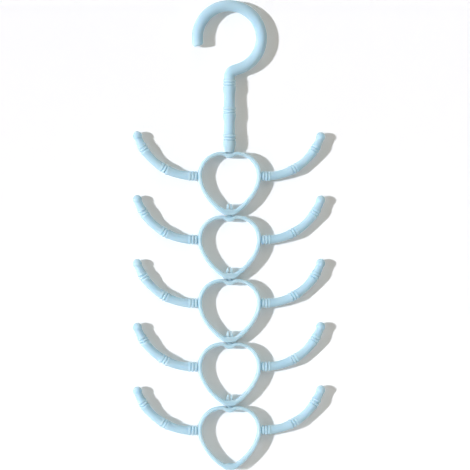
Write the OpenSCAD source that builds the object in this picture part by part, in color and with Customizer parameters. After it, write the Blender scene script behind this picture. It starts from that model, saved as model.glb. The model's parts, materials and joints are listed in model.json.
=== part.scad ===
// Hanging rack for ties and scarves: a round hook on a jointed stem carries a chain of
// five heart-shaped tiers. Each tier has two upswept arms and swivels on a split snap pin.
// Millimetres, +Z up, arms along X. The origin is the inner top of the hook, where a rail bears.

/* [Hook] */
// Diameter of the hook's round rod
rod_d = 9.2; // [8:0.1:11]
// Radius of the hook, measured to the middle of the rod
hook_r = 26.4; // [22:0.1:32]
// How far the hook's free end reaches below the level of its centre, in degrees
hook_tip_angle = 15; // [6:1:40]
// Rounding round the edge of the hook's free end
hook_tip_rounding = 2.4; // [1:0.1:3]
// Slope at which the hook leaves the stem, in degrees from upright
neck_angle = 70; // [60:1:76]
// Radius of the bend between stem and hook, measured to the middle of the rod
neck_bend_r = 5.7; // [5.6:0.1:8]

/* [Stem] */
// Number of bamboo joints on the stem
stem_joints = 3; // [1:1:4]
// Distance from one stem joint to the next
stem_joint_pitch = 22.45; // [18:0.05:25]
// Height of the lowest stem joint above the stem's lower end
stem_joint_start = 11.3; // [9:0.1:14]
// Length of the stem above the middle of its highest joint
stem_top_l = 5.8; // [5.8:0.1:12]
// Diameter of a stem joint
stem_joint_d = 10.6; // [10:0.1:13]
// Length of a stem joint with its two tapers
stem_joint_l = 11.3; // [10:0.1:11.5]
// Length of each of those tapers
stem_joint_taper = 3.2; // [2:0.1:3.5]
// Diameter of the stem's lower end
stem_end_d = 8.2; // [7.8:0.1:9.2]
// Rounding round the edge of the stem's lower end
stem_end_rounding = 1; // [0.5:0.1:1]

/* [Heart] */
// Number of tiers in the chain
tiers = 5; // [1:1:8]
// Overall width of a heart
heart_w = 51.6; // [44:0.1:62]
// Overall height of a heart, from the tops of its lobes to its cut-off tip
heart_h = 52; // [44:0.1:62]
// Sideways distance from the middle to the centre of a lobe
lobe_x = 6.4; // [5.5:0.1:8]
// Depth of the dip between the lobes
dip = 1.5; // [1:0.1:2]
// Radius of the hollow in the dip
dip_r = 8; // [6:0.1:9]
// How much thicker the band is in the dip, under the pin
dip_pad = 0.9; // [0:0.1:1.2]
// Radius of the side below the widest level
side_r = 25; // [22:0.1:30]
// Angle through which the side bends at that radius
side_angle = 25; // [15:1:30]
// Width of the cut-off tip
tip_w = 6.8; // [6:0.1:10]
// Thickness of the band
band_t = 2.7; // [2:0.1:3.3]
// Depth of the band, front to back
band_depth = 8.4; // [7:0.1:10.1]
// Thickness of the block in the tip that the pin goes through
block_h = 4.9; // [3.5:0.1:6]
// Width of the shelf on that block, between the flanks
shelf_w = 9; // [7:0.1:14]

/* [Arms] */
// Diameter of an arm
arm_d = 7.1; // [6:0.1:8]
// Diameter of an arm's bamboo joint
arm_joint_d = 7.7; // [6.8:0.1:9]
// Length of an arm's joint with its two tapers
arm_joint_l = 6.4; // [5.6:0.1:7]
// Number of bamboo joints on an arm
arm_joints = 3; // [2:1:4]
// Distance of the first joint's middle from the heart
arm_root_l = 4.5; // [4.3:0.1:7]
// Length along the arm from one joint's middle to the next
arm_joint_pitch = 23.9; // [20:0.1:28]
// Length along the arm from the last joint's middle to the ball
arm_end_l = 11.7; // [9:0.1:14]
// Slope at the end of the arm, in degrees from level
arm_angle = 71.3; // [50:0.1:80]
// Diameter of the ball at the end of the arm
ball_d = 7.9; // [7.4:0.1:9.5]
// How far the arms leave the heart below its widest level
arm_drop = 0.4; // [-2:0.1:2]

/* [Snap pin] */
// Diameter of the pin's shank
pin_d = 4.2; // [3.5:0.1:5]
// Running clearance between the shank and its hole, on the radius
pin_clearance = 0.08; // [0.05:0.01:0.1]
// How far the head catches beyond the shank, on the radius
pin_catch = 0.85; // [0.5:0.05:0.9]
// Height of the head
head_h = 4.3; // [3.5:0.1:5]
// Width of the head's blunt top
head_top_w = 3.3; // [2.4:0.1:3.4]
// Depth of the head between its flat front and back
head_depth = 3.6; // [2.8:0.1:3.8]
// Width of the slot that lets the two prongs close
slot_w = 1.5; // [1:0.1:1.7]
// Diameter of the collar at the foot of the pin
collar_d = 5.1; // [5.1:0.1:6.1]
// Height of the collar
collar_h = 1.4; // [1.2:0.1:2]
// Gap between the collar and what it turns under
collar_gap = 0.2; // [0.1:0.05:0.4]
// Gap between the head and what it hangs on
head_gap = 0.1; // [0.05:0.05:0.3]

/* [Rings] */
// Width of the grooves cut round each bamboo joint
groove_w = 0.9; // [0.6:0.1:1.2]
// Depth of those grooves
groove_depth = 0.4; // [0.2:0.05:0.6]
// Distance between the two grooves of a stem joint, middle to middle
stem_groove_pitch = 2.4; // [2:0.1:3]
// Distance between the two grooves of an arm's joint, middle to middle
arm_groove_pitch = 2.5; // [2:0.1:3]

/* [Hidden] */
$fn = 64;
plastic = [0.69, 0.85, 0.93];
// A knuckle is this much thicker than the rods that it joins
knuckle_swell = 0.05;
// Rods stop this far short of the middle of the knuckle or joint that covers their ends
rod_stop = 0.1;
// An end that is put on a rod starts this far inside it
end_sunk = 0.3;
// Angle between the points of an outline's arcs
arc_step = 5;

rod_r = rod_d / 2;
hook_centre_z = rod_r - hook_r;
// Straight stretch that brings the hook's centre over the stem
neck_straight = (hook_r * cos(neck_angle) - neck_bend_r * (1 - cos(neck_angle))) / sin(neck_angle);
stem_top_z = hook_centre_z - (neck_bend_r + hook_r) * sin(neck_angle) - neck_straight * cos(neck_angle);
stem_l = stem_joint_start + (stem_joints - 1) * stem_joint_pitch + stem_top_l;
stem_end_z = stem_top_z - stem_l;

// Heart, from the level of the lobes' centres, where it is widest
lobe_r = heart_w / 2 - lobe_x;
dip_z = lobe_r - dip;
// The crown of a lobe and the hollow of a dip are two arcs that meet smoothly, so their centres
// are this far apart
function crown_reach(depth) = (lobe_x * lobe_x / depth + depth) / 2;
crown_r = crown_reach(dip) - dip_r;
tip_z = lobe_r - heart_h;
shelf_z = tip_z + block_h;
side_centre = [heart_w / 2 - side_r, 0];
side_out = [cos(side_angle), -sin(side_angle)];
side_end = side_centre + side_r * side_out;
tip_corner = [tip_w / 2, tip_z];
shelf_corner = [shelf_w / 2, shelf_z];

hole_r = pin_d / 2 + pin_clearance;
head_r = pin_d / 2 + pin_catch;
// The head's sloping sides would meet its underside at this distance from the middle
head_foot = head_r + (head_r - head_top_w / 2) / 7;
shank_l = collar_h + collar_gap + block_h + head_gap;
tier_pitch = heart_h - dip + collar_h + collar_gap;

// The stem's end sits low over the collar, which turns in a recess
stem_seat_clearance = 0.2;
stem_corner_r = stem_end_d / 2 - stem_end_rounding * (1 - cos(45));
dip_rise = dip_r - sqrt(dip_r * dip_r - stem_corner_r * stem_corner_r);
stem_end_gap = dip_rise - stem_end_rounding * (1 - sin(45)) + stem_seat_clearance;
socket_roof = 0.5;
socket_clearance = 0.2;
first_tier_z = stem_end_z - stem_end_gap - dip_z;

arm_start = heart_w / 2 - band_t / 2;
arm_bend_l = (arm_joints - 1) * arm_joint_pitch + arm_end_l;
arm_bend_r = arm_bend_l * 180 / PI / arm_angle;

// The points of a joint's outline: a taper, a plateau with two grooves, and a taper
function joint_outline(r_rod, r_joint, length, taper, pitch) = [
    [r_rod, -length / 2],
    [r_joint, taper - length / 2],
    for (side = [-1, 1])
        for (corner = [[-1, 0], [-0.3, 1], [0.3, 1], [1, 0]])
            [r_joint - corner.y * groove_depth, side * pitch / 2 + corner.x * groove_w / 2],
    [r_joint, length / 2 - taper],
    [r_rod, length / 2],
];

// The points of an arc about a centre, from one angle to another
function arc(centre, r, start, end) =
    let (steps = ceil(abs(end - start) / arc_step))
    [for (i = [0 : steps])
        let (a = start + (end - start) * i / steps)
        centre + r * [cos(a), sin(a)]];

// A length of rod that bends towards +Z as it runs along +X
module bend(r, angle, d) {
    stop = rod_stop / r * 180 / PI;
    translate([0, 0, r])
        rotate([90, 0, 0])
            rotate([0, 0, stop - 90])
                rotate_extrude(angle = angle - 2 * stop)
                    translate([r, 0])
                        circle(d = d);
}

// Moves what follows to a place along such a bend
module along_bend(r, angle) {
    translate([0, 0, r])
        rotate([0, -angle, 0])
            translate([0, 0, -r])
                children();
}

// A straight length of rod along +X, from one place to another
module bar(start, end, d) {
    translate([start, 0, 0])
        rotate([0, 90, 0])
            cylinder(h = end - start, d = d);
}

// A ball that joins two lengths of rod
module knuckle() {
    sphere(r = rod_r + knuckle_swell);
}

// A turned bamboo joint of an arm along +X, whose ends are sunk in the rod
module arm_joint() {
    sunk_r = arm_d - arm_joint_d / 2;
    rotate([0, 90, 0])
        rotate_extrude()
            polygon(concat(
                [[0, -arm_joint_l / 2]],
                joint_outline(sunk_r, arm_joint_d / 2, arm_joint_l, arm_joint_l / 4, arm_groove_pitch),
                [[0, arm_joint_l / 2]]
            ));
}

// The blunt end of a rod that runs along +X, thinner by the swell so that it sits in the rod
module rounded_end(d, rounding) {
    flat_r = d / 2 - knuckle_swell - rounding;
    rotate([0, 90, 0])
        rotate_extrude()
            union() {
                translate([0, -end_sunk])
                    square([flat_r, end_sunk + rounding]);
                translate([0, -end_sunk])
                    square([flat_r + rounding, end_sunk]);
                translate([flat_r, 0])
                    intersection() {
                        circle(r = rounding);
                        square(rounding);
                    }
            }
}

// The flank runs on smoothly from the side, set in from the outer one, and ends at a corner
function flank(inset, corner) =
    let (start = side_end - inset * side_out,
        run = corner - start,
        r = -(run * run) / (2 * (run * side_out)),
        centre = start - r * side_out)
    arc(centre, r, -side_angle, -asin((centre.y - corner.y) / r));

// The right half of a heart's outline from dip to tip, set in from the outer one, with a
// dip of its own depth
function half_outline(inset, depth, corner) =
    let (crown = crown_r - inset,
        hollow = crown_reach(depth) - crown,
        turn = asin(lobe_x / (crown + hollow)))
    concat(
        arc([0, lobe_r - inset - depth + hollow], hollow, -90, turn - 90),
        arc([lobe_x, lobe_r - crown_r], crown, 90 + turn, 90),
        arc([lobe_x, 0], lobe_r - inset, 90, 0),
        arc(side_centre, side_r - inset, 0, -side_angle),
        flank(inset, corner)
    );

// A whole heart, as the area inside its outline
module heart_area(inset, depth, corner) {
    right = half_outline(inset, depth, corner);
    polygon(concat(
        right,
        [for (i = [len(right) - 1 : -1 : 1]) [-right[i].x, right[i].y]]
    ));
}

// The heart's band, closed below by the block that the next pin hangs in
module heart() {
    rotate([90, 0, 0])
        linear_extrude(band_depth, center = true)
            difference() {
                heart_area(0, dip, tip_corner);
                heart_area(band_t, dip + dip_pad, shelf_corner);
            }
}

// The flat arrow head of the pin, whose edges are round enough to turn
module snap_head() {
    intersection() {
        cylinder(h = head_h, r = head_r);
        rotate([90, 0, 0])
            linear_extrude(head_depth, center = true)
                polygon([
                    [-head_foot, 0],
                    [head_foot, 0],
                    [head_top_w / 2, head_h],
                    [-head_top_w / 2, head_h],
                ]);
    }
}

// The split pin that stands in the dip: a collar, a shank and an arrow head
module snap_pin() {
    slot_l = shank_l + head_h - collar_h;
    difference() {
        union() {
            rotate_extrude()
                polygon([
                    [0, -band_t / 2],
                    [collar_d / 2, -band_t / 2],
                    [collar_d / 2, collar_h],
                    [pin_d / 2, collar_h],
                    [pin_d / 2, shank_l],
                    [0, shank_l],
                ]);
            translate([0, 0, shank_l])
                snap_head();
        }
        translate([-slot_w / 2, -head_r - 1, collar_h + slot_w / 2])
            cube([slot_w, 2 * head_r + 2, slot_l]);
    }
}

// An upswept arm along +X, with its bamboo joints and a ball
module arm() {
    first_joint = band_t / 2 + arm_root_l;
    bar(0, first_joint - rod_stop, arm_d);
    translate([first_joint, 0, 0]) {
        bend(arm_bend_r, arm_angle, arm_d);
        for (i = [0 : arm_joints - 1])
            along_bend(arm_bend_r, i * arm_joint_pitch / arm_bend_l * arm_angle)
                arm_joint();
        along_bend(arm_bend_r, arm_angle)
            sphere(d = ball_d);
    }
}

// One tier at its own widest level: heart, arms, and the pin that snaps into what is above
module tier() {
    color(plastic)
        difference() {
            union() {
                heart();
                translate([0, 0, dip_z])
                    snap_pin();
                for (side = [0, 1])
                    mirror([side, 0, 0])
                        translate([arm_start, 0, -arm_drop])
                            arm();
            }
            translate([0, 0, tip_z - 1])
                cylinder(h = block_h + 2, r = hole_r);
        }
}

// The stem's outline from its lower end up, as one turned shape with its bamboo joints
module stem_body() {
    stem_joint_points =
        joint_outline(rod_r, stem_joint_d / 2, stem_joint_l, stem_joint_taper, stem_groove_pitch);
    rotate_extrude()
        union() {
            polygon([
                [0, 0],
                [stem_end_d / 2 - stem_end_rounding, 0],
                [stem_end_d / 2, stem_end_rounding],
                for (i = [0 : stem_joints - 1])
                    for (p = stem_joint_points)
                        [p.x, p.y + stem_joint_start + i * stem_joint_pitch],
                [rod_r, stem_l - rod_stop],
                [0, stem_l - rod_stop],
            ]);
            translate([stem_end_d / 2 - stem_end_rounding, stem_end_rounding])
                intersection() {
                    circle(r = stem_end_rounding);
                    translate([0, -stem_end_rounding])
                        square(stem_end_rounding);
                }
        }
}

// The blind socket in the stem's end: a recess for the collar, a throat and a room for the head
module stem_socket() {
    recess_top = collar_h + collar_gap - stem_end_gap;
    throat_top = recess_top + block_h;
    roof = throat_top + head_gap + head_h + socket_roof;
    rotate_extrude()
        polygon([
            [0, -1],
            [collar_d / 2 + socket_clearance, -1],
            [collar_d / 2 + socket_clearance, recess_top],
            [hole_r, recess_top],
            [hole_r, throat_top],
            [head_r + socket_clearance, throat_top],
            [head_r + socket_clearance, roof],
            [0, roof],
        ]);
}

// The hook above the stem, drawn as it runs from the stem's top to its free end
module hook_rod() {
    tip_cap = hook_tip_rounding / hook_r * 180 / PI;
    hook_turn = 180 + neck_angle + hook_tip_angle - tip_cap;
    knuckle();
    mirror([0, 0, 1])
        bend(neck_bend_r, neck_angle, rod_d);
    mirror([0, 0, 1])
        along_bend(neck_bend_r, neck_angle)
            mirror([0, 0, 1]) {
                knuckle();
                bar(rod_stop, neck_straight - rod_stop, rod_d);
                translate([neck_straight, 0, 0]) {
                    knuckle();
                    bend(hook_r, hook_turn, rod_d);
                    along_bend(hook_r, hook_turn)
                        rounded_end(rod_d, hook_tip_rounding);
                }
            }
}

module hook() {
    color(plastic)
        difference() {
            union() {
                translate([0, 0, stem_top_z])
                    rotate([0, -90, 0])
                        hook_rod();
                translate([0, 0, stem_end_z])
                    stem_body();
            }
            translate([0, 0, stem_end_z])
                stem_socket();
        }
}

hook();
for (i = [1 : tiers])
    translate([0, 0, first_tier_z - (i - 1) * tier_pitch])
            tier();
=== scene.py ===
"""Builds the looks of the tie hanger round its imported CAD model: hook, five tiers and the stage."""

import json
import math

import bmesh
import bpy
from mathutils import Matrix, Vector

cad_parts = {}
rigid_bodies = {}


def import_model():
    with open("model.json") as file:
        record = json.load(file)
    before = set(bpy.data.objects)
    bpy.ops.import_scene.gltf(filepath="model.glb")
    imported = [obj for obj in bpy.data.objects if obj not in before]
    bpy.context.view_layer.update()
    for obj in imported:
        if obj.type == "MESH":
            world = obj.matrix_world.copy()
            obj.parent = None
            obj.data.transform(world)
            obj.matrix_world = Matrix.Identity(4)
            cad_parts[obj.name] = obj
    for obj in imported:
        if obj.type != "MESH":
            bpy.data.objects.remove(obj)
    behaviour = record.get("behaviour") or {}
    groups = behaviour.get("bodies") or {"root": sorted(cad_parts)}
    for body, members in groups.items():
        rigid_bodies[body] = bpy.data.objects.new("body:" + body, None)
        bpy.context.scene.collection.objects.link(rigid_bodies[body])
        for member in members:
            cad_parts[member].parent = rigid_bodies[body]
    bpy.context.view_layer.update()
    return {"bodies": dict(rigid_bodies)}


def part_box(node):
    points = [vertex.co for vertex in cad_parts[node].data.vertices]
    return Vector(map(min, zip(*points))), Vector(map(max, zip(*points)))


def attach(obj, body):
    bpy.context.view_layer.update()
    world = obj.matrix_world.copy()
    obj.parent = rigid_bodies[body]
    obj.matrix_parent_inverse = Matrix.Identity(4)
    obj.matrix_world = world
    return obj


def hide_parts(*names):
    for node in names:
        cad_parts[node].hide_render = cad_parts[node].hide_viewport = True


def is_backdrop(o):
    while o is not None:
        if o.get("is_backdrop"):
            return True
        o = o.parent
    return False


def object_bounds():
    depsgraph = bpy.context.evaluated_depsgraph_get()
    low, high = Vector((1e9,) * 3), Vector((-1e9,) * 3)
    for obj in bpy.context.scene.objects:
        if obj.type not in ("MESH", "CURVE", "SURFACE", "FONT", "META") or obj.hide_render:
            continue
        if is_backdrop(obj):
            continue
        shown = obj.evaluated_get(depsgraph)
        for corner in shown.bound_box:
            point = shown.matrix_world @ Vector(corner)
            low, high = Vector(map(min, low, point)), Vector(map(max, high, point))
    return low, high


bl_info = {
    "name": "Tie hanger builder",
    "version": (1, 0, 0),
    "blender": (4, 5, 0),
    "location": "3D View > Sidebar > Tie hanger",
    "description": "Builds a hanging rack with heart-shaped swivelling tiers around its CAD frame",
    "category": "Add Mesh",
}

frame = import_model()
TIERS = sorted(name for name in frame["bodies"] if name.startswith("tier_"))
MM = 0.001
QUARTER = math.pi / 2
JOINTS = 3
# Lengths of the steps along a rod, between its joints and on them
HOOK_STEPS = (1.4 * MM, 0.14 * MM)
ARM_STEPS = (1.2 * MM, 0.13 * MM)
# Least radius of a rod at a closed end
POINT_R = 0.02 * MM
# How far a cutter reaches past what it cuts
PAST = 1 * MM
# How deep parts that are joined reach into each other
OVERLAP = 0.01 * MM
SHARP = math.radians(38)
# The photograph has 470 pixels each way
PIXEL = 0.82 * MM
HALF_FRAME = 235 * PIXEL
SURFACE_LIT, SURFACE_SEEN = (0.94, 0.94, 0.93), (1.11, 1.11, 1.1)
FLOOR, FLOOR_GLOW, DOME = (0.8, 0.8, 0.8, 1), (0.45, 0.45, 0.45, 1), (0.8, 0.8, 0.8, 1)
WARM, WHITE = (1, 0.97, 0.9), (1, 1, 1)


def length(name, description, mm):
    """A size in millimetres as a property in metres."""
    return bpy.props.FloatProperty(
        name=name, description=description, default=mm * MM, unit="LENGTH", precision=5
    )


def angle(name, description, degrees):
    """An angle in degrees as a property in radians."""
    return bpy.props.FloatProperty(
        name=name, description=description, default=math.radians(degrees), subtype="ANGLE"
    )


def share(name, description, value):
    """A number from 0 to 1 as a property."""
    return bpy.props.FloatProperty(
        name=name, description=description, default=value, min=0, max=1, subtype="FACTOR"
    )


def colour(name, description, rgb):
    """A linear colour as a property."""
    return bpy.props.FloatVectorProperty(
        name=name, description=description, default=rgb, min=0, max=1, subtype="COLOR"
    )


class HookSizes(bpy.types.PropertyGroup):
    """Sizes of the hook and its stem"""

    rod_r: length("Rod radius", "Radius of the hook's round rod", 4.6)
    hook_r: length("Hook radius", "Radius of the hook, to the middle of the rod", 26.4)
    tip_angle: angle("Tip angle", "How far the free end reaches below the hook's centre", 15)
    tip_rounding: length("Tip rounding", "Rounding of the hook's free end", 2.4)
    neck_angle: angle("Neck angle", "Slope at which the hook leaves the stem", 70)
    neck_bend_r: length("Neck bend", "Radius of the bend between stem and hook", 5.7)
    joint_start: length("First joint", "Height of the lowest joint above the stem's end", 11.3)
    joint_pitch: length("Joint pitch", "Distance between the stem's joints", 22.45)
    top_swell: length("Top joint swell", "How much thicker the highest joint is than the rod", 0.7)
    joint_swell: length("Joint swell", "How much thicker the lower joints are than the rod", 0.7)
    joint_l: length("Joint length", "Length of a joint with two short tapers", 8.0)
    joint_taper: length("Joint taper", "Length of the short taper above each joint", 1.1)
    long_taper: length("Long taper", "Length of the long taper below each joint", 7.0)
    waist: length("Stem waist", "How much thinner the stem is between its joints", 0.2)
    groove_pitch: length("Groove pitch", "Distance between a joint's two grooves", 2.4)
    groove_w: length("Groove width", "Width of the grooves round the stem's joints", 1.8)
    groove_depth: length("Groove depth", "Depth of those grooves", 0.85)
    top_l: length("Stem top", "Length of stem above its highest joint", 5.8)
    end_r: length("Stem end", "Radius of the stem's lower end", 4.1)
    end_rounding: length("End rounding", "Rounding of the stem's lower end", 1.0)
    end_taper: share("End taper", "How far up to the first joint the stem's end widens", 0.45)
    socket_room: length("Socket room", "Room round the pin's head and collar in the stem", 0.2)
    roof_room: length("Roof room", "Room above the pin's head in the stem", 0.5)


class TierSizes(bpy.types.PropertyGroup):
    """Sizes of one heart-shaped tier with its arms and pin"""

    half_w: length("Half width", "Half of the heart's overall width", 25.8)
    heart_h: length("Heart height", "Height from the lobes' tops to the cut-off tip", 52)
    lobe_x: length("Lobe place", "Sideways distance from the middle to a lobe's centre", 6.4)
    dip: length("Dip", "Depth of the dip between the lobes", 1.5)
    dip_r: length("Dip radius", "Radius of the hollow in the dip", 8)
    dip_pad: length("Dip pad", "How much thicker the band is in the dip, under the pin", 0.9)
    side_r: length("Side radius", "Radius of the side below the widest level", 25)
    side_angle: angle("Side angle", "Angle through which the side bends", 25)
    tip_half_w: length("Tip half width", "Half of the width of the cut-off tip", 3.4)
    shelf_half_w: length("Shelf half width", "Half of the shelf on the block in the tip", 4.5)
    band_t: length("Band thickness", "Thickness of the heart's band", 2.7)
    band_half_d: length("Band half depth", "Half of the band's depth", 4.2)
    edge: length("Edge rounding", "Rounding of the band's edges", 1.1)
    tip_rounding: length("Tip rounding", "Rounding of the corners of the tip", 0.9)
    cove: length("Cove", "Rounding where the flanks meet the shelf", 1.5)
    block_h: length("Block height", "Thickness of the block in the tip", 4.9)
    arm_r: length("Arm radius", "Radius of an arm", 3.55)
    arm_drop: length("Arm drop", "How far the arms leave below the widest level", 0.4)
    arm_root_l: length("Arm root", "Distance of the first joint from the heart", 4.5)
    root_groove_x: length("Root groove", "Distance of the root's groove from the heart", 0.7)
    arm_pitch: length("Arm joint pitch", "Length along the arm between its joints", 23.9)
    arm_end_l: length("Arm end", "Length along the arm from the last joint to the ball", 11.7)
    arm_angle: angle("Arm angle", "Slope at the end of the arm", 71.3)
    arm_swell: length("Arm joint swell", "How much thicker a joint is than the arm", 0.45)
    arm_joint_l: length("Arm joint length", "Length of an arm's joint with its tapers", 7.8)
    arm_taper: length("Arm joint taper", "Length of each taper of an arm's joint", 1.0)
    ring_rise: length("Ring rise", "How much the ring between an arm's grooves stands out", 0.15)
    arm_groove_pitch: length("Arm groove pitch", "Distance between a joint's grooves", 2.5)
    arm_waist: length("Arm waist", "How much thinner an arm is between its joints", 0.18)
    neck_start: length("Neck start", "Where the arm starts to thin after its last joint", 2.5)
    neck_l: length("Neck taper", "Length in which the arm thins to its neck", 4)
    neck_r: length("Neck radius", "Radius of the neck below the ball", 3.3)
    ball_r: length("Ball radius", "Radius of the ball at the arm's end", 3.95)
    pin_r: length("Pin radius", "Radius of the pin's shank", 2.1)
    pin_catch: length("Pin catch", "How far the pin's head catches beyond its shank", 0.85)
    pin_clearance: length("Pin clearance", "Running clearance of the pin in its hole", 0.08)
    head_h: length("Head height", "Height of the pin's head", 4.3)
    head_top_half_w: length("Head top", "Half of the width of the head's blunt top", 1.65)
    head_half_d: length("Head half depth", "Half of the head's depth between its flat faces", 1.8)
    head_gap: length("Head gap", "Gap between the head and what it hangs on", 0.1)
    head_edge: length("Head edge", "Rounding of the head's edges", 0.25)
    barb: share("Barb", "How far up the head is at its widest", 0.125)
    slot_w: length("Slot width", "Width of the slot between the pin's prongs", 1.5)
    collar_r: length("Collar radius", "Radius of the collar at the foot of the pin", 2.55)
    collar_h: length("Collar height", "Height of the collar", 1.4)
    collar_gap: length("Collar gap", "Gap between the collar and what it turns under", 0.2)
    countersink: length("Countersink", "Depth of the countersinks of the tip's hole", 0.25)
    groove_w: length("Groove width", "Width of the grooves round an arm's joints", 1.6)
    groove_depth: length("Groove depth", "Depth of those grooves", 0.85)


class PlasticFinish(bpy.types.PropertyGroup):
    """Colours and gloss of the moulded plastic"""

    body: colour("Colour", "Main colour of the plastic", (0.52, 0.725, 0.815))
    deep: colour("Deep colour", "Colour where the pigment gathers", (0.49, 0.695, 0.795))
    roughness: share("Roughness", "Roughness of the satin skin", 0.52)
    glow: share("Glow", "How much light passes under the skin", 1.0)
    glow_reach: length("Glow reach", "How far light travels under the skin", 4.0)
    skin_h: length("Skin", "Height of the fine skin's grain", 0.012)
    ripple_h: length("Ripple", "Height of the soft ripple", 0.09)
    seam_h: length("Seam height", "Height of the mould seam", 0.03)
    seam_half_w: length("Seam width", "Half of the mould seam's width", 0.12)


class StageSettings(bpy.types.PropertyGroup):
    """Camera, light and background"""

    azimuth: angle("Azimuth", "Where the camera stands, from straight in front", -6.7)
    key_angle: angle("Key angle", "Where the key light stands, from straight in front", 53.8)
    lens: bpy.props.FloatProperty(name="Lens", description="Focal length in mm", default=200)
    key: bpy.props.FloatProperty(name="Key light", description="Strength of the key", default=2.8)
    fill: bpy.props.FloatProperty(name="Back fill", description="Strength from behind", default=0.8)
    side: bpy.props.FloatProperty(
        name="Side fill", description="Strength from the right", default=0.85
    )
    top: bpy.props.FloatProperty(name="Top fill", description="Strength from above", default=0.38)
    ambient: share("Ambient", "Strength of the even light of the room", 0.04)
    middle_x: length("Middle across", "Middle of the picture, from the stem", 4.592)
    middle_drop: length("Middle down", "Middle of the picture, from the hook's top", 192.618)
    surface_gap: length("Surface gap", "Gap between the rack and the surface it lies on", 0.25)
    surface_half: length("Surface size", "Half of the surface's width and height", 900)
    floor_drop: length("Floor drop", "Height of the lowest tip over the floor", 25)
    floor_half: length("Floor size", "Half of the floor's width", 2000)
    dome_r: length("Dome radius", "Radius of the backdrop's dome", 3500)


def smooth_step(x):
    """0 below 0, 1 above 1, and smooth between."""
    x = min(max(x, 0.0), 1.0)
    return x * x * (3 - 2 * x)


def new_object(name, data):
    """A new object in the scene, at the origin."""
    made = bpy.data.objects.new(name, data)
    bpy.context.scene.collection.objects.link(made)
    return made


def remove(made):
    """Takes an object and its mesh out of the file."""
    mesh = made.data
    bpy.data.objects.remove(made)
    if mesh.users == 0:
        bpy.data.meshes.remove(mesh)


def plain_mesh(made):
    """The object's mesh with its modifiers in it, which are then removed."""
    depsgraph = bpy.context.evaluated_depsgraph_get()
    mesh = bpy.data.meshes.new_from_object(made.evaluated_get(depsgraph), depsgraph=depsgraph)
    made.modifiers.clear()
    old = made.data
    made.data = mesh
    bpy.data.meshes.remove(old)
    return made


def outward(mesh):
    """Merges doubles and turns all faces outwards."""
    bm = bmesh.new()
    bm.from_mesh(mesh)
    bmesh.ops.remove_doubles(bm, verts=bm.verts, dist=1e-7)
    bmesh.ops.recalc_face_normals(bm, faces=bm.faces)
    bm.to_mesh(mesh)
    bm.free()
    return mesh


def closed_object(name, bm):
    """A new object from a closed bmesh, which is freed."""
    mesh = bpy.data.meshes.new(name)
    bm.to_mesh(mesh)
    bm.free()
    return new_object(name, outward(mesh))


def join_rings(bm, rings):
    """Faces between each ring of vertices and the next."""
    for low, high in zip(rings, rings[1:]):
        for i in range(len(low)):
            j = (i + 1) % len(low)
            bm.faces.new((low[i], low[j], high[j], high[i]))


def combine(made, other, operation):
    """Adds another closed shape to an object's mesh or cuts it out, and removes the other."""
    modifier = made.modifiers.new("combine", "BOOLEAN")
    modifier.solver = "MANIFOLD"
    modifier.operation = operation
    modifier.object = other
    plain_mesh(made)
    remove(other)
    if not made.data.polygons:
        raise RuntimeError(f"{made.name}: nothing is left after {operation}")
    return made


def turned(name, outline, sides=64):
    """A closed shape turned about Z, from an outline of (radius, height) between points on Z."""
    bm = bmesh.new()
    rings = []
    for radius, height in outline:
        if radius < 1e-9:
            rings.append([bm.verts.new((0, 0, height))])
            continue
        rings.append([
            bm.verts.new((radius * math.cos(a), radius * math.sin(a), height))
            for a in (2 * math.pi * i / sides for i in range(sides))
        ])
    for low, high in zip(rings, rings[1:]):
        for i in range(sides):
            j = (i + 1) % sides
            if len(low) == 1:
                bm.faces.new((low[0], high[j], high[i]))
            elif len(high) == 1:
                bm.faces.new((low[i], low[j], high[0]))
            else:
                bm.faces.new((low[i], low[j], high[j], high[i]))
    return closed_object(name, bm)


def rounded(corners, steps=6):
    """An outline whose corners, given as (x, y, rounding), are rounded."""
    points = []
    for k, (x, y, r) in enumerate(corners):
        here = Vector((x, y))
        if r <= 0 or k in (0, len(corners) - 1):
            points.append((x, y))
            continue
        before = (Vector(corners[k - 1][:2]) - here).normalized()
        after = (Vector(corners[k + 1][:2]) - here).normalized()
        half = math.acos(max(-1.0, min(1.0, before.dot(after)))) / 2
        reach = r / math.tan(half)
        centre = here + (before + after).normalized() * (r / math.sin(half))
        start, end = here + before * reach - centre, here + after * reach - centre
        sweep = math.pi - 2 * half
        turn = 1 if start.x * end.y - start.y * end.x > 0 else -1
        first = math.atan2(start.y, start.x)
        for i in range(steps + 1):
            a = first + turn * sweep * i / steps
            points.append((centre.x + r * math.cos(a), centre.y + r * math.sin(a)))
    return points


# Node trees


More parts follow.
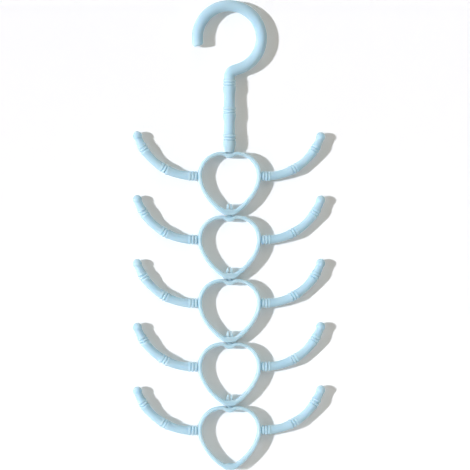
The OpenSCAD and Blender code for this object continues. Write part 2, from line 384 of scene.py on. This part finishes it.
class Tree:
    """Short ways to add nodes to a tree and to link them."""

    def __init__(self, tree):
        self.tree = tree

    def put(self, target, value):
        """Links a socket to the target, or sets the target to a plain value."""
        if isinstance(value, bpy.types.NodeSocket):
            self.tree.links.new(value, target)
        elif value is not None:
            target.default_value = value

    def node(self, kind, inputs=(), **settings):
        """A new node with its settings and inputs."""
        made = self.tree.nodes.new(kind)
        for name, value in settings.items():
            setattr(made, name, value)
        for key, value in dict(inputs).items():
            self.put(made.inputs[key], value)
        return made

    def math(self, operation, a, b=None):
        """The result of a Math node on one or two values."""
        made = self.node("ShaderNodeMath", operation=operation)
        for socket, value in zip(made.inputs, (a, b)):
            self.put(socket, value)
        return made.outputs[0]

    def step(self, value, start, end, low=0.0, high=1.0):
        """Smooth change from low to high as value goes from start to end."""
        made = self.node("ShaderNodeMapRange", interpolation_type="SMOOTHSTEP")
        for socket, v in zip(made.inputs[:5], (value, start, end, low, high)):
            self.put(socket, v)
        return made.outputs[0]

    def mixed(self, factor, first, second):
        """The first colour where the factor is 0 and the second where it is 1."""
        made = self.node("ShaderNodeMix", data_type="RGBA")
        for key, value in ((0, factor), (6, (*first, 1)), (7, (*second, 1))):
            self.put(made.inputs[key], value)
        return made.outputs[2]

    def clear_where(self, factor, shader):
        """The shader, and clear where the factor is 1."""
        made = self.node("ShaderNodeMixShader", {"Fac": factor})
        self.put(made.inputs[1], shader.outputs[0])
        self.put(made.inputs[2], self.node("ShaderNodeBsdfTransparent").outputs[0])
        return made

    def noise(self, place, scale, detail, roughness, distortion=0.0):
        """Smooth noise from 0 to 1 over places."""
        inputs = {
            "Vector": place, "Scale": scale, "Detail": detail,
            "Roughness": roughness, "Distortion": distortion,
        }
        return self.node("ShaderNodeTexNoise", inputs).outputs["Fac"]


def blank_material(name):
    """A new material and its empty tree."""
    material = bpy.data.materials.new(name)
    material.use_nodes = True
    material.node_tree.nodes.clear()
    return material, Tree(material.node_tree)


def set_surface(t, shader):
    """Makes the shader what the material shows."""
    t.put(t.node("ShaderNodeOutputMaterial").inputs[0], shader.outputs[0])


PATH_VALUES = ("along", "rod_r", "swell")
BAMBOO_INPUTS = {
    "Joint half length": 0.005,
    "Joint taper": 0.003,
    "Long taper": 0.003,
    "Ring rise": 0.0,
    "Groove pitch": 0.0024,
    "Groove width": 0.0009,
    "Groove depth": 0.0004,
    "First joint": 0.01,
    "Joint pitch": 0.02,
    "Waist": 0.0,
}


def bamboo_tree():
    """Makes a rod along a path. The path gives its radius, and a rule its joints and grooves."""
    tree = bpy.data.node_groups.new("Bamboo rod", "GeometryNodeTree")
    face = tree.interface
    face.new_socket(name="Path", in_out="INPUT", socket_type="NodeSocketGeometry")
    for name, default in BAMBOO_INPUTS.items():
        socket = face.new_socket(name=name, in_out="INPUT", socket_type="NodeSocketFloat")
        socket.default_value = default
        socket.subtype = "DISTANCE"
    for name, default in (("Joints", JOINTS), ("Sides", 48)):
        socket = face.new_socket(name=name, in_out="INPUT", socket_type="NodeSocketInt")
        socket.default_value = default
    face.new_socket(name="Material", in_out="INPUT", socket_type="NodeSocketMaterial")
    face.new_socket(name="Rod", in_out="OUTPUT", socket_type="NodeSocketGeometry")
    t = Tree(tree)
    given = t.node("NodeGroupInput").outputs
    along, rod_r, joint_swell = (
        t.node("GeometryNodeInputNamedAttribute", {"Name": name}).outputs["Attribute"]
        for name in PATH_VALUES
    )
    # The distance from the nearest joint
    from_first = t.math("SUBTRACT", along, given["First joint"])
    nearest = t.math("ROUND", t.math("DIVIDE", from_first, given["Joint pitch"]))
    last = t.math("SUBTRACT", given["Joints"], 1.0)
    nearest = t.math("MINIMUM", t.math("MAXIMUM", nearest, 0.0), last)
    beyond = t.math("SUBTRACT", from_first, t.math("MULTIPLY", nearest, given["Joint pitch"]))
    away = t.math("ABSOLUTE", beyond)
    # The joint swells, with a ring between two round grooves
    below = t.math("LESS_THAN", beyond, 0.0)
    taper = t.math("SUBTRACT", given["Long taper"], given["Joint taper"])
    taper = t.math("ADD", given["Joint taper"], t.math("MULTIPLY", below, taper))
    plateau = t.math("SUBTRACT", given["Joint half length"], given["Joint taper"])
    swell = t.step(away, t.math("ADD", plateau, taper), plateau, 0.0, joint_swell)
    half_pitch = t.math("MULTIPLY", given["Groove pitch"], 0.5)
    half_width = t.math("MULTIPLY", given["Groove width"], 0.5)
    off_groove = t.math("ABSOLUTE", t.math("SUBTRACT", away, half_pitch))
    groove = t.step(off_groove, half_width, 0.0, 0.0, given["Groove depth"])
    ring = t.step(away, half_pitch, 0.0, 0.0, given["Ring rise"])
    middle = t.math("MULTIPLY", given["Joint pitch"], 0.5)
    waist = t.step(away, given["Joint half length"], middle, 0.0, given["Waist"])
    radius = t.math("ADD", rod_r, swell)
    radius = t.math("SUBTRACT", radius, groove)
    radius = t.math("ADD", radius, ring)
    radius = t.math("SUBTRACT", radius, waist)
    path = t.node("GeometryNodeMeshToCurve", {"Mesh": given["Path"]}).outputs[0]
    circle = t.node(
        "GeometryNodeCurvePrimitiveCircle", {"Resolution": given["Sides"], "Radius": 1.0}
    )
    rod = t.node(
        "GeometryNodeCurveToMesh",
        {"Curve": path, "Profile Curve": circle.outputs[0], "Scale": radius, "Fill Caps": True},
    )
    plain = t.node("GeometryNodeRealizeInstances", {"Geometry": rod.outputs[0]})
    finished = t.node(
        "GeometryNodeSetMaterial", {"Geometry": plain.outputs[0], "Material": given["Material"]}
    )
    out = t.node("NodeGroupOutput")
    tree.links.new(finished.outputs[0], out.inputs[0])
    return tree


def bamboo_rod(name, path, sizes, sides=48):
    """A rod along a path of (place, length along, radius, joint swell), made by the bamboo tree."""
    mesh = bpy.data.meshes.new(name)
    mesh.from_pydata([row[0] for row in path], [(i, i + 1) for i in range(len(path) - 1)], [])
    for column, attribute in enumerate(PATH_VALUES, start=1):
        values = mesh.attributes.new(attribute, "FLOAT", "POINT")
        values.data.foreach_set("value", [row[column] for row in path])
    made = new_object(name, mesh)
    tree = bpy.data.node_groups.get("Bamboo rod") or bamboo_tree()
    modifier = made.modifiers.new("Bamboo rod", "NODES")
    modifier.node_group = tree
    wanted = dict(sizes, Joints=JOINTS, Sides=sides, Material=the_plastic())
    for item in tree.interface.items_tree:
        if item.in_out == "INPUT" and item.name in wanted:
            modifier[item.identifier] = wanted[item.name]
    plain_mesh(made)
    outward(made.data)
    for attribute in PATH_VALUES:
        if attribute in made.data.attributes:
            made.data.attributes.remove(made.data.attributes[attribute])
    return made


def spaced(total, dense, coarse, fine):
    """Stations along a path: fine steps near the places in dense, coarse steps elsewhere."""
    stations = [0.0]
    while stations[-1] < total:
        s = stations[-1]
        near = any(abs(s - place) < reach for place, reach in dense)
        stations.append(min(s + (fine if near else coarse), total))
    return stations


# Plastic


def plastic_material():
    """Satin blue moulded plastic: flow marks in the pigment, a fine skin and a faint mould seam."""
    finish = bpy.context.scene.hanger_finish
    material, t = blank_material("blue_moulded_plastic")
    place = t.node("ShaderNodeTexCoord").outputs["Object"]
    flow = t.noise(place, 34.0, 3.0, 0.5, distortion=0.8)
    grain = t.noise(place, 2600.0, 2.0, 0.6)
    ripple = t.noise(place, 210.0, 2.0, 0.5)
    y = t.node("ShaderNodeSeparateXYZ", {"Vector": place}).outputs["Y"]
    seam = t.step(t.math("ABSOLUTE", y), finish.seam_half_w, finish.seam_half_w / 3)
    height = t.math("MULTIPLY", grain, finish.skin_h)
    height = t.math("ADD", height, t.math("MULTIPLY", ripple, finish.ripple_h))
    height = t.math("ADD", height, t.math("MULTIPLY", seam, finish.seam_h))
    bump = t.node("ShaderNodeBump", {"Strength": 1.0, "Distance": 1.0, "Height": height})
    # The gloss varies by 0.06 each way with the ripple
    rough = t.math("ADD", t.math("MULTIPLY", ripple, 0.12), finish.roughness - 0.06)
    shader = t.node(
        "ShaderNodeBsdfPrincipled",
        {
            "Base Color": t.mixed(t.step(flow, 0.35, 0.7), finish.body, finish.deep),
            "Roughness": rough,
            "IOR": 1.49,
            "Specular IOR Level": 0.3,
            "Normal": bump.outputs[0],
            "Subsurface Weight": finish.glow,
            "Subsurface Radius": (1.15, 1.05, 1.0),
            "Subsurface Scale": finish.glow_reach,
        },
    )
    set_surface(t, shader)
    return material


def the_plastic():
    """The one plastic of all pieces, made when it is first asked for."""
    return bpy.data.materials.get("blue_moulded_plastic") or plastic_material()


def finish_piece(made, body):
    """Gives a finished mesh its material and shading, and hands it to its CAD body."""
    mesh = made.data
    mesh.materials.clear()
    mesh.materials.append(the_plastic())
    mesh.polygons.foreach_set("material_index", [0] * len(mesh.polygons))
    mesh.shade_smooth()
    mesh.set_sharp_from_angle(angle=SHARP)
    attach(made, body)
    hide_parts(body)


# Hook


class HANGER_OT_hook(bpy.types.Operator):
    """Build the hook and its bamboo-jointed stem"""

    bl_idname = "hanger.hook"
    bl_label = "Build hook"

    def execute(self, context):
        h, t = context.scene.hanger_hook, context.scene.hanger_tier
        stem_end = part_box("hook")[0].z
        stem_l = h.joint_start + (JOINTS - 1) * h.joint_pitch + h.top_l
        centre_z = h.rod_r - h.hook_r
        sin_n, cos_n = math.sin(h.neck_angle), math.cos(h.neck_angle)
        straight = (h.hook_r * cos_n - h.neck_bend_r * (1 - cos_n)) / sin_n
        bend_l = h.neck_bend_r * h.neck_angle
        arc_l = h.hook_r * (math.pi + h.neck_angle + h.tip_angle)
        total = stem_l + bend_l + straight + arc_l
        joints = [h.joint_start + i * h.joint_pitch for i in range(JOINTS)]
        # The bend's fine steps reach a little past both of its ends
        dense = [(s, h.joint_l / 2) for s in joints] + [(stem_l + bend_l / 2, bend_l * 0.7)]
        dense += [(total, h.tip_rounding), (0, h.end_rounding)]
        path = []
        for s in spaced(total, dense, *HOOK_STEPS):
            radius = h.rod_r
            if s < h.joint_start:
                widened = smooth_step(s / (h.joint_start * h.end_taper))
                radius += (h.end_r - h.rod_r) * (1 - widened)
            for end, rounding in ((s, h.end_rounding), (total - s, h.tip_rounding)):
                if end < rounding:
                    radius += math.sqrt(max(rounding**2 - (rounding - end) ** 2, 0)) - rounding
            radius += h.waist * smooth_step((s - stem_l) / bend_l)
            place = self.place(s, stem_l, bend_l, straight, stem_end, centre_z, h)
            swell = h.joint_swell if s < joints[-1] - h.joint_pitch / 2 else h.top_swell
            path.append((place, s, radius, swell))
        sizes = {
            "Joint half length": h.joint_l / 2, "Joint taper": h.joint_taper,
            "Long taper": h.long_taper, "Groove pitch": h.groove_pitch,
            "Groove width": h.groove_w, "Groove depth": h.groove_depth,
            "First joint": h.joint_start, "Joint pitch": h.joint_pitch,
            "Waist": h.waist,
        }
        made = bamboo_rod("hook_and_stem", path, sizes, sides=64)
        combine(made, self.socket(h, t, stem_end), "DIFFERENCE")
        finish_piece(made, "hook")
        return {"FINISHED"}

    @staticmethod
    def place(s, stem_l, bend_l, straight, stem_end, centre_z, h):
        """The middle of the rod at a length along it, from the stem's end to the hook's tip."""
        top = stem_end + stem_l
        if s <= stem_l:
            return (0, 0, stem_end + s)
        a = min((s - stem_l) / h.neck_bend_r, h.neck_angle)
        x, z = h.neck_bend_r * (1 - math.cos(a)), top + h.neck_bend_r * math.sin(a)
        if s <= stem_l + bend_l:
            return (x, 0, z)
        run = min(s - stem_l - bend_l, straight)
        x, z = x + run * math.sin(h.neck_angle), z + run * math.cos(h.neck_angle)
        if s <= stem_l + bend_l + straight:
            return (x, 0, z)
        a = (s - stem_l - bend_l - straight) / h.hook_r - h.neck_angle
        return (h.hook_r * math.cos(a), 0, centre_z + h.hook_r * math.sin(a))

    @staticmethod
    def socket(h, t, stem_end):
        """The blind socket for the first tier's pin, with a recess for its collar."""
        dip_z = t.half_w - t.lobe_x - t.dip
        first_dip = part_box(TIERS[0])[0].z + t.heart_h - (t.half_w - t.lobe_x) + dip_z
        recess = first_dip + t.collar_h + t.collar_gap
        throat = recess + t.block_h
        roof = throat + t.head_gap + t.head_h + h.roof_room
        throat_r = t.pin_r + t.pin_clearance
        head_r = t.pin_r + t.pin_catch + h.socket_room
        collar_r = t.collar_r + h.socket_room
        return turned("socket", rounded([
            (0, stem_end - PAST, 0),
            (collar_r, stem_end - PAST, 0),
            (collar_r, recess, 0.2 * MM),
            (throat_r, recess, 0.15 * MM),
            (throat_r, throat, 0),
            (head_r, throat, 0.2 * MM),
            (head_r, roof, 0.5 * MM),
            (0, roof, 0),
        ]))


# Tiers


class HANGER_OT_tiers(bpy.types.Operator):
    """Build the heart-shaped tiers with their arms and snap pins"""

    bl_idname = "hanger.tiers"
    bl_label = "Build tiers"

    def execute(self, context):
        t = context.scene.hanger_tier
        self.lobe_r = t.half_w - t.lobe_x
        self.dip_z = self.lobe_r - t.dip
        self.tip_z = self.lobe_r - t.heart_h
        heart = self.heart(t)
        for side in (1, -1):
            combine(heart, self.arm(t, side), "UNION")
        combine(heart, self.pin(t), "UNION")
        combine(heart, self.hole(t), "DIFFERENCE")
        pattern = heart.data
        for name in TIERS:
            mesh = pattern.copy()
            mesh.transform(Matrix.Translation((0, 0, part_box(name)[0].z - self.tip_z)))
            finish_piece(new_object(f"{name}_heart_with_arms", mesh), name)
        remove(heart)
        return {"FINISHED"}

    def outline(self, t, inset, depth, foot, rounding):
        """Points and outward normals of the heart's closed outline, set in from its outer one."""
        crown_r = (t.lobe_x**2 / t.dip + t.dip) / 2 - t.dip_r
        reach = (t.lobe_x**2 / depth + depth) / 2
        hollow_r = reach - crown_r + inset
        crown_a = math.asin(t.lobe_x / reach)
        dip_c = Vector((0, self.lobe_r - inset - depth + hollow_r))
        side_c = Vector((t.half_w - t.side_r, 0))
        side_out = Vector((math.cos(t.side_angle), -math.sin(t.side_angle)))
        side_end = side_c + (t.side_r - inset) * side_out
        run = Vector(foot) - side_end
        r = -run.length_squared / (2 * run.dot(side_out))
        flank_c = side_end - r * side_out
        corner_z = foot[1] + rounding
        corner_x = flank_c.x + math.sqrt((r - rounding) ** 2 - (corner_z - flank_c.y) ** 2)
        flank_end = math.atan2(corner_z - flank_c.y, corner_x - flank_c.x)
        crown_c = Vector((t.lobe_x, self.lobe_r - crown_r))
        # Centre, radius, first and last angle, and number of steps
        arcs = (
            (dip_c, -hollow_r, QUARTER, QUARTER + crown_a, 10),
            (crown_c, crown_r - inset, QUARTER + crown_a, QUARTER, 10),
            (Vector((t.lobe_x, 0)), self.lobe_r - inset, QUARTER, 0, 44),
            (side_c, t.side_r - inset, 0, -t.side_angle, 14),
            (flank_c, r, -t.side_angle, flank_end, 40),
            (Vector((corner_x, corner_z)), rounding, flank_end, -QUARTER, 8),
        )
        half = []
        for c, radius, start, end, steps in arcs:
            for i in range(1 if half else 0, steps + 1):
                a = start + (end - start) * i / steps
                out = Vector((math.cos(a), math.sin(a)))
                half.append((c + radius * out, out))
        floor, steps = half[-1][0], 6
        for i in range(1, steps + 1):
            half.append((Vector((floor.x * (1 - i / steps), foot[1])), Vector((0, -1))))
        mirrored = [(Vector((-p.x, p.y)), Vector((-n.x, n.y))) for p, n in half[-2:0:-1]]
        return half + mirrored

    def heart(self, t):
        """The heart's band with its rounded edges, and the solid block in its tip."""
        shelf = (t.shelf_half_w, self.tip_z + t.block_h)
        outer = self.outline(t, 0, t.dip, (t.tip_half_w, self.tip_z), t.tip_rounding)
        inner = self.outline(t, t.band_t, t.dip + t.dip_pad, shelf, t.cove)
        steps, flat_y = 5, 1.5 * MM
        # The outer wall from front to back, as (wall, inset, y), and then the inner wall
        section = []
        for k in range(steps + 1):
            a = QUARTER * k / steps
            inset, depth = t.edge * (1 - math.sin(a)), t.edge * (1 - math.cos(a))
            section.append((0, inset, depth - t.band_half_d))
        section += [(0, 0, y) for y in (-flat_y, flat_y)]
        section += [(0, i, -y) for _, i, y in reversed(section[:steps + 1])]
        section += [(1, i, y) for _, i, y in reversed(section)]
        bm = bmesh.new()
        rings = []
        for (po, no), (pi, ni) in zip(outer, inner):
            ring = []
            for wall, inset, y in section:
                p = pi + ni * inset if wall else po - no * inset
                ring.append(bm.verts.new((p.x, y, p.y)))
            rings.append(ring)
        join_rings(bm, rings + rings[:1])
        return closed_object("heart", bm)

    def arm(self, t, side):
        """An upswept arm: a bamboo rod with a ball at its end."""
        start = t.half_w - t.band_t / 2
        first = t.band_t / 2 + t.arm_root_l
        bend_l = (JOINTS - 1) * t.arm_pitch + t.arm_end_l
        bend_r = bend_l / t.arm_angle
        total = first + bend_l + t.ball_r
        ball = first + bend_l
        joints = [first + i * t.arm_pitch for i in range(JOINTS)]
        dense = [(s, t.arm_joint_l / 2) for s in joints]
        dense += [(ball, t.ball_r + 2 * MM), (t.band_t / 2, t.groove_w / 2)]
        path = []
        for s in spaced(total, dense, *ARM_STEPS):
            bend = min(max(s - first, 0), bend_l)
            a = bend / bend_r
            x = start + min(s, first) + bend_r * math.sin(a)
            z = -t.arm_drop + bend_r * (1 - math.cos(a))
            past = max(s - ball, 0)
            x, z = x + past * math.cos(a), z + past * math.sin(a)
            radius = t.arm_r
            thinned = smooth_step((s - joints[-1] - t.neck_start) / t.neck_l)
            radius += (t.neck_r - t.arm_r) * thinned
            off_root = abs(s - t.band_t / 2 - t.root_groove_x)
            radius -= t.groove_depth * smooth_step(1 - 2 * off_root / t.groove_w)
            if s > ball:
                radius = 0.0
            in_ball = math.sqrt(max(t.ball_r**2 - (s - ball) ** 2, POINT_R**2))
            radius = max(radius, in_ball) if abs(s - ball) < t.ball_r else radius
            path.append(((side * x, 0, z), s, max(radius, POINT_R), t.arm_swell))
        sizes = {
            "Joint half length": t.arm_joint_l / 2,
            "Joint taper": t.arm_taper, "Long taper": t.arm_taper, "Ring rise": t.ring_rise,
            "Groove pitch": t.arm_groove_pitch, "Groove width": t.groove_w,
            "Groove depth": t.groove_depth, "First joint": first,
            "Joint pitch": t.arm_pitch, "Waist": t.arm_waist,
        }
        return bamboo_rod(f"arm_{side}", path, sizes)

    def pin(self, t):
        """The split pin that stands in the dip: collar, shank and slotted arrow head."""
        dip = self.dip_z
        shank = dip + t.collar_h + t.collar_gap + t.block_h + t.head_gap
        top = shank + t.head_h
        head_r = t.pin_r + t.pin_catch
        made = turned("pin", rounded([
            (0, dip - t.band_t / 2, 0),
            (t.collar_r, dip - t.band_t / 2, 0),
            (t.collar_r, dip + t.collar_h, 0.25 * MM),
            (t.pin_r, dip + t.collar_h, 0.15 * MM),
            (t.pin_r, shank + OVERLAP, 0),
            (0, shank + OVERLAP, 0),
        ]))
        combine(made, self.head(t, shank), "UNION")
        half = t.slot_w / 2
        floor = dip + t.collar_h + half
        # The slot's outline: a half round floor and an open top
        loop = [(half * math.cos(a), floor + half * math.sin(a))
                for a in (-math.pi * i / 12 for i in range(13))]
        loop += [(-half, top + PAST), (half, top + PAST)]
        cutter = bmesh.new()
        front = [cutter.verts.new((x, -2 * head_r, z)) for x, z in loop]
        back = [cutter.verts.new((x, 2 * head_r, z)) for x, z in loop]
        cutter.faces.new(front)
        cutter.faces.new(back[::-1])
        join_rings(cutter, [front, back])
        return combine(made, closed_object("slot", cutter), "DIFFERENCE")

    @staticmethod
    def head(t, foot):
        """The pin's arrow head: flat in front and behind, with rounded edges."""
        bm = bmesh.new()
        rings = []
        sides, sharpness, steps, edge = 72, 14, 4, t.head_edge
        head_r = t.pin_r + t.pin_catch
        slope = (head_r - t.head_top_half_w) / (1 - t.barb)
        # Levels as (rise, inset): a rounded edge, the sides, and a rounded edge again
        levels = [(edge * (1 - math.cos(a)), edge * (1 - math.sin(a)))
                  for a in (QUARTER * i / steps for i in range(steps + 1))]
        levels += [(t.head_h * i / 8, 0) for i in range(1, 8)]
        levels += [(t.head_h - rise, inset) for rise, inset in reversed(levels[:steps + 1])]
        for rise, inset in levels:
            half_w = head_r - slope * (rise / t.head_h - t.barb) - inset
            ring = []
            for i in range(sides):
                a = 2 * math.pi * i / sides
                across, along = math.cos(a), math.sin(a)
                walls = ((across, half_w), (along, t.head_half_d - inset), (1, head_r - inset))
                reach = sum(abs(n / w) ** sharpness for n, w in walls) ** (-1 / sharpness)
                ring.append(bm.verts.new((reach * across, reach * along, foot + rise)))
            rings.append(ring)
        join_rings(bm, rings)
        bm.faces.new(rings[0][::-1])
        bm.faces.new(rings[-1])
        return closed_object("head", bm)

    def hole(self, t):
        """The hole through the block in the tip, with a small countersink at both ends."""
        r = t.pin_r + t.pin_clearance
        low, high, sink = self.tip_z, self.tip_z + t.block_h, t.countersink
        return turned("hole", [
            (0, low - PAST), (r + sink, low - PAST), (r + sink, low), (r, low + sink),
            (r, high - sink), (r + sink, high), (r + sink, high + PAST), (0, high + PAST),
        ])


# Stage


class HANGER_OT_stage(bpy.types.Operator):
    """Build the floor, the white surface behind, the lights and the camera"""

    bl_idname = "hanger.stage"
    bl_label = "Build stage"

    def execute(self, context):
        s = context.scene.hanger_stage
        low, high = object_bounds()
        self.surface_behind(s.surface_half, high.y + s.surface_gap, (low.z + high.z) / 2)
        self.floor(s.floor_half, low.z - s.floor_drop)
        self.backdrop(s.dome_r)
        self.lights(s)
        self.camera(s, high.z)
        context.scene.view_settings.view_transform = "Standard"
        return {"FINISHED"}

    @staticmethod
    def staged(name, mesh, material):
        """An object of the stage, with its material."""
        mesh.materials.append(material)
        new_object(name, mesh)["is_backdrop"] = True

    def card(self, name, corners, material):
        """A flat square of the stage."""
        mesh = bpy.data.meshes.new(name)
        mesh.from_pydata(corners, [], [(0, 1, 2, 3)])
        self.staged(name, mesh, material)

    def surface_behind(self, half, y, z):
        """A white surface that the rack lies on. Seen from its back it is clear."""
        material, t = blank_material("white_surface")
        rays = t.node("ShaderNodeLightPath").outputs
        back = t.node("ShaderNodeNewGeometry").outputs["Backfacing"]
        seen = t.math("MAXIMUM", rays["Is Camera Ray"], rays["Is Glossy Ray"])
        tone = t.mixed(seen, SURFACE_LIT, SURFACE_SEEN)
        hidden = t.math("MAXIMUM", back, rays["Is Shadow Ray"])
        set_surface(t, t.clear_where(hidden, t.node("ShaderNodeBsdfDiffuse", {"Color": tone})))
        low, high = z - half, z + half
        corners = [(-half, y, low), (half, y, low), (half, y, high), (-half, y, high)]
        self.card("surface_behind", corners, material)

    def floor(self, half, z):
        """A plain pale floor below the rack. Seen from below it is clear."""
        material, t = blank_material("pale_floor")
        shader = t.node(
            "ShaderNodeBsdfPrincipled",
            {
                "Base Color": FLOOR,
                "Roughness": 0.9,
                "Emission Color": FLOOR_GLOW,
                "Emission Strength": t.node("ShaderNodeLightPath").outputs["Is Camera Ray"],
            },
        )
        back = t.node("ShaderNodeNewGeometry").outputs["Backfacing"]
        set_surface(t, t.clear_where(back, shader))
        corners = [(-half, -half, z), (half, -half, z), (half, half, z), (-half, half, z)]
        self.card("floor", corners, material)

    def backdrop(self, radius):
        """A wide white dome round everything, which only the camera sees."""
        material, t = blank_material("white_backdrop")
        shader = t.node(
            "ShaderNodeBsdfPrincipled",
            {
                "Base Color": DOME,
                "Roughness": 1.0,
                "Emission Color": (*WHITE, 1),
                "Emission Strength": 1.0,
            },
        )
        seen = t.node("ShaderNodeLightPath").outputs["Is Camera Ray"]
        set_surface(t, t.clear_where(t.math("SUBTRACT", 1.0, seen), shader))
        bm = bmesh.new()
        bmesh.ops.create_uvsphere(bm, u_segments=48, v_segments=24, radius=radius)
        bmesh.ops.reverse_faces(bm, faces=bm.faces)
        mesh = bpy.data.meshes.new("backdrop")
        bm.to_mesh(mesh)
        bm.free()
        mesh.shade_smooth()
        self.staged("backdrop", mesh, material)

    @staticmethod
    def sun(name, towards, strength, spread, tint):
        """Parallel light that travels towards a direction, softened by its spread in degrees."""
        lamp = bpy.data.lights.new(name, "SUN")
        lamp.energy = strength
        lamp.angle = math.radians(spread)
        lamp.color = tint
        made = new_object(name, lamp)
        made.rotation_mode = "QUATERNION"
        made.rotation_quaternion = Vector(towards).to_track_quat("-Z", "Y")

    def lights(self, s):
        """A key light from the left, soft fills from three sides, and a dim even room."""
        across = (math.sin(s.key_angle), math.cos(s.key_angle), -0.035)
        self.sun("key_light", across, s.key, 3.2, (1, 1.01, 1.1))
        self.sun("side_fill", (-0.9, 0.9, -0.1), s.side, 110, (1, 0.96, 0.86))
        self.sun("top_fill", (0.1, 0.62, -0.78), s.top, 60, WARM)
        self.sun("back_fill", (-0.45, -1, -0.25), s.fill, 60, WHITE)
        world = bpy.data.worlds.new("room")
        world.use_nodes = True
        bpy.context.scene.world = world
        t = Tree(world.node_tree)
        background = world.node_tree.nodes["Background"]
        rays = t.node("ShaderNodeLightPath").outputs
        seen = t.math("MAXIMUM", rays["Is Camera Ray"], rays["Is Transmission Ray"])
        t.put(background.inputs["Color"], t.mixed(seen, WARM, WHITE))
        t.put(background.inputs["Strength"], t.math("MAXIMUM", seen, s.ambient))

    @staticmethod
    def camera(s, top):
        """The photograph's frame, seen from slightly left of straight on."""
        data = bpy.data.cameras.new("camera")
        data.lens = s.lens
        data.sensor_width = 36
        data.sensor_fit = "HORIZONTAL"
        data.clip_start, data.clip_end = 0.05, 20
        target = Vector((s.middle_x, 0, top - s.middle_drop))
        distance = HALF_FRAME / (data.sensor_width / 2 / data.lens)
        back = Vector((math.sin(s.azimuth), -math.cos(s.azimuth), 0))
        made = new_object("camera", data)
        made.location = target + back * distance
        made.rotation_mode = "QUATERNION"
        made.rotation_quaternion = (-back).to_track_quat("-Z", "Y")
        bpy.context.scene.camera = made


class HANGER_PT_panel(bpy.types.Panel):
    """Lists the steps that build the hanger"""

    bl_label = "Tie hanger"
    bl_idname = "HANGER_PT_panel"
    bl_space_type = "VIEW_3D"
    bl_region_type = "UI"
    bl_category = "Tie hanger"

    def draw(self, context):
        for step in OPERATORS:
            self.layout.operator(step.bl_idname)
        for name in GROUPS:
            group = getattr(context.scene, name)
            box = self.layout.box()
            for key in group.__annotations__:
                box.prop(group, key)


OPERATORS = (HANGER_OT_hook, HANGER_OT_tiers, HANGER_OT_stage)
GROUPS = {
    "hanger_hook": HookSizes,
    "hanger_tier": TierSizes,
    "hanger_finish": PlasticFinish,
    "hanger_stage": StageSettings,
}


def register():
    for cls in (*GROUPS.values(), *OPERATORS, HANGER_PT_panel):
        bpy.utils.register_class(cls)
    for name, group in GROUPS.items():
        setattr(bpy.types.Scene, name, bpy.props.PointerProperty(type=group))


def unregister():
    for name in GROUPS:
        delattr(bpy.types.Scene, name)
    for cls in reversed((*GROUPS.values(), *OPERATORS, HANGER_PT_panel)):
        bpy.utils.unregister_class(cls)


def main():
    register()
    bpy.ops.hanger.hook()
    bpy.ops.hanger.tiers()
    bpy.ops.hanger.stage()


if __name__ == "__main__":
    main()
